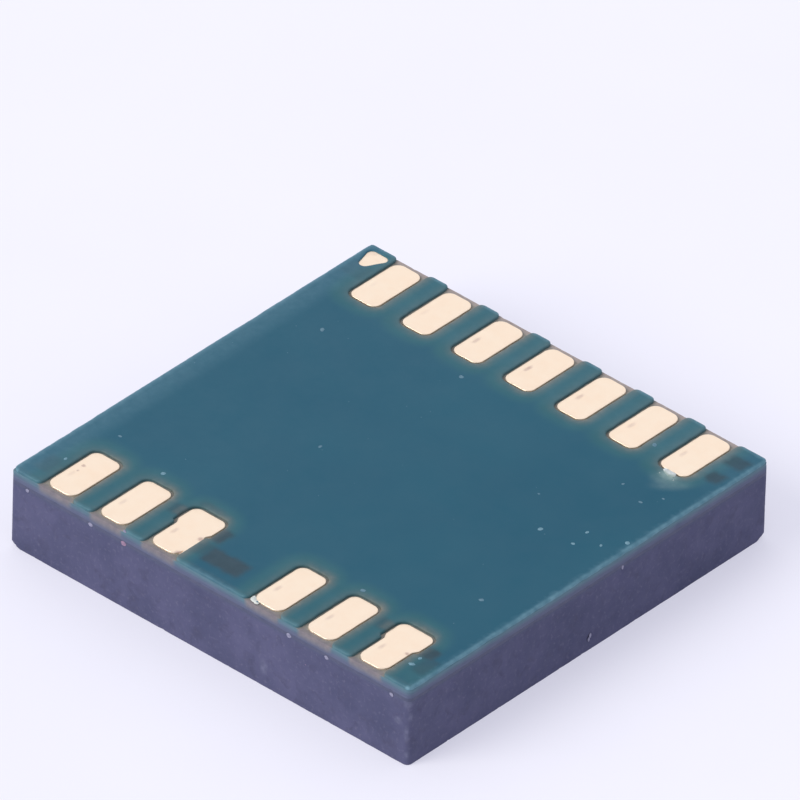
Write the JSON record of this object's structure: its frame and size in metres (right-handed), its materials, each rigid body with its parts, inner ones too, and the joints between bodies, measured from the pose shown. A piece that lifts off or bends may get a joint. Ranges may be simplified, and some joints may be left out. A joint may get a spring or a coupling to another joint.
{
  "type": "isolated gate driver chip",
  "caption": "Flat square moulded chip lying on its moulded face, with plated lands in two rows along opposite sides of its solder-masked face and a small corner marker.",
  "frame": {"origin": "middle of the moulded face, which the chip lies on", "axes": "+Z out of the land side, X along the two rows of lands, +Y towards the row of input lands"},
  "size_m": [0.005, 0.005, 0.0009],
  "materials": {
    "mould": "matt, fine grained, sawn sides",
    "solder_mask": "satin teal film",
    "laminate": "sawn glass and resin",
    "plated_copper": "soft gold plating",
    "silicon": "polished, dark",
    "die_attach": "silver filled resin",
    "bond_gold": "bright drawn wire"
  },
  "bodies": {
    "root": {"mould_compound": "mould", "laminate_core": "laminate", "outer_solder_mask": "solder_mask", "inner_solder_mask": "solder_mask", "terminal_01": "plated_copper", "terminal_02": "plated_copper", "terminal_03": "plated_copper", "terminal_04": "plated_copper", "terminal_05": "plated_copper", "terminal_06": "plated_copper", "terminal_07": "plated_copper", "terminal_08": "plated_copper", "terminal_09": "plated_copper", "terminal_10": "plated_copper", "terminal_11": "plated_copper", "terminal_12": "plated_copper", "terminal_13": "plated_copper", "pin_one_marker": "plated_copper", "input_die": "silicon", "input_die_attach": "die_attach", "output_die_a": "silicon", "output_die_a_attach": "die_attach", "output_die_b": "silicon", "output_die_b_attach": "die_attach", "bond_wire_01": "bond_gold", "bond_wire_02": "bond_gold", "bond_wire_03": "bond_gold", "bond_wire_04": "bond_gold", "bond_wire_05": "bond_gold", "bond_wire_06": "bond_gold", "bond_wire_07": "bond_gold", "bond_wire_08": "bond_gold", "bond_wire_09": "bond_gold", "bond_wire_10": "bond_gold", "bond_wire_11": "bond_gold", "bond_wire_12": "bond_gold", "bond_wire_13": "bond_gold", "isolation_wire_a1": "bond_gold", "isolation_wire_a2": "bond_gold", "isolation_wire_b1": "bond_gold", "isolation_wire_b2": "bond_gold"}
  },
  "joints": []
}
